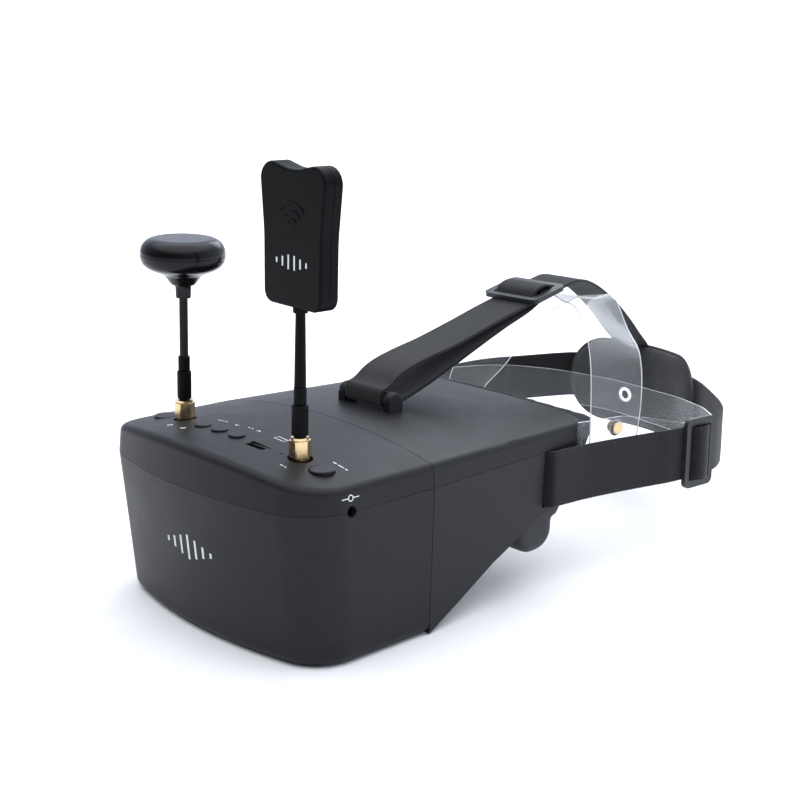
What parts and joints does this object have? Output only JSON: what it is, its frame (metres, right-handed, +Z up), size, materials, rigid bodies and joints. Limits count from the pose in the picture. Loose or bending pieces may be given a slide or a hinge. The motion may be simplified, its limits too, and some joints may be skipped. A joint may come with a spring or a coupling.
{
  "type": "fpv goggles",
  "caption": "Box-type video goggles with a face visor, webbing head straps over a clear head former, a curved rear cushion, a mushroom antenna and a flat patch antenna.",
  "frame": {"origin": "centre of the flat underside of the monitor box", "axes": "+X to the side with the power jack, -Y out of the front face, +Y towards the wearer's head, +Z up"},
  "size_m": [0.1773, 0.327, 0.1956],
  "materials": {
    "charcoal_plastic": "satin charcoal, fine spark texture",
    "button_plastic": "satin dark grey",
    "buckle_plastic": "satin black",
    "gloss_black": "polished black",
    "antenna_black": "matte black",
    "coax_black": "matte black jacket",
    "gold_brass": "gold plated",
    "circuit_board": "solder mask",
    "switch_plastic": "moulded",
    "tin_plate": "tinned shield",
    "cell_foil": "foil pouch",
    "screen_glass": "dark panel glass",
    "lens_clear": "clear grooved lens",
    "former_clear": "clear strip with bright cut edges",
    "webbing": "woven elastic",
    "cushion": "padded fabric"
  },
  "bodies": {
    "monitor": {"monitor_top_shell": "charcoal_plastic", "monitor_bottom_shell": "charcoal_plastic", "monitor_bezel": "charcoal_plastic", "bezel_screws": "tin_plate", "lcd_panel": "screen_glass", "main_board": "circuit_board", "receiver_modules": "tin_plate", "battery_pack": "cell_foil", "button_board": "circuit_board", "tact_switches": "switch_plastic", "card_socket": "tin_plate", "power_jack": "tin_plate", "left_coax_jack": "gold_brass", "right_coax_jack": "gold_brass"},
    "visor": {"visor_top_shell": "charcoal_plastic", "visor_bottom_shell": "charcoal_plastic", "strap_bracket": "charcoal_plastic", "lens_frame": "charcoal_plastic", "fresnel_lens": "lens_clear", "face_foam": "cushion", "right_strap": "webbing", "left_strap": "webbing", "top_strap": "webbing", "back_pad": "cushion", "former_band": "former_clear", "former_arch": "former_clear", "former_rivets": "gold_brass"},
    "power_button": {"power_button": "button_plastic"},
    "search_button": {"search_button": "button_plastic"},
    "mode_button": {"mode_button": "button_plastic"},
    "down_button": {"down_button": "button_plastic"},
    "up_button": {"up_button": "button_plastic"},
    "memory_card": {"memory_card": "switch_plastic"},
    "mushroom_antenna": {"mushroom_nut": "gold_brass", "mushroom_stem": "coax_black", "mushroom_sleeves": "antenna_black", "mushroom_cap_lower": "gloss_black", "mushroom_cap_upper": "gloss_black", "mushroom_lobes": "gold_brass"},
    "patch_antenna": {"patch_nut": "gold_brass", "patch_core": "coax_black", "patch_stem": "antenna_black", "patch_sleeves": "antenna_black", "patch_front_shell": "antenna_black", "patch_rear_shell": "antenna_black", "patch_board": "circuit_board"},
    "right_buckle": {"right_buckle": "buckle_plastic"},
    "left_buckle": {"left_buckle": "buckle_plastic"},
    "top_buckle": {"top_buckle": "buckle_plastic"}
  },
  "joints": [
    {"name": "visor_release", "type": "slide", "parent": "monitor", "child": "visor", "axis": [0, 1, 0], "range_m": [0, 0.008]},
    {"name": "power_button_press", "type": "slide", "parent": "monitor", "child": "power_button", "axis": [0, 0, -1], "range_m": [0, 0.0008], "stiffness_N_per_m": 400, "springref_m": -0.0004},
    {"name": "search_button_press", "type": "slide", "parent": "monitor", "child": "search_button", "axis": [0, 0, -1], "range_m": [0, 0.0008], "stiffness_N_per_m": 400, "springref_m": -0.0004},
    {"name": "mode_button_press", "type": "slide", "parent": "monitor", "child": "mode_button", "axis": [0, 0, -1], "range_m": [0, 0.0008], "stiffness_N_per_m": 300, "springref_m": -0.0004},
    {"name": "down_button_press", "type": "slide", "parent": "monitor", "child": "down_button", "axis": [0, 0, -1], "range_m": [0, 0.0008], "stiffness_N_per_m": 300, "springref_m": -0.0004},
    {"name": "up_button_press", "type": "slide", "parent": "monitor", "child": "up_button", "axis": [0, 0, -1], "range_m": [0, 0.0008], "stiffness_N_per_m": 300, "springref_m": -0.0004},
    {"name": "card_eject", "type": "slide", "parent": "monitor", "child": "memory_card", "axis": [0, 0, 1], "range_m": [0, 0.012]},
    {"name": "mushroom_antenna_turn", "type": "hinge", "parent": "monitor", "child": "mushroom_antenna", "pos_m": [-0.0398, -0.0122, 0.084], "axis": [0, 0, 1], "continuous": true},
    {"name": "patch_antenna_turn", "type": "hinge", "parent": "monitor", "child": "patch_antenna", "pos_m": [0.0412, -0.0122, 0.084], "axis": [0, 0, 1], "continuous": true},
    {"name": "right_buckle_slide", "type": "slide", "parent": "visor", "child": "right_buckle", "axis": [0.0825, 0.9966, 0], "range_m": [-0.003, 0.003]},
    {"name": "left_buckle_slide", "type": "slide", "parent": "visor", "child": "left_buckle", "axis": [-0.0551, 0.9985, 0], "range_m": [-0.003, 0.003]},
    {"name": "top_buckle_slide", "type": "slide", "parent": "visor", "child": "top_buckle", "axis": [0, 0.9726, 0.2325], "range_m": [-0.005, 0.005]}
  ]
}
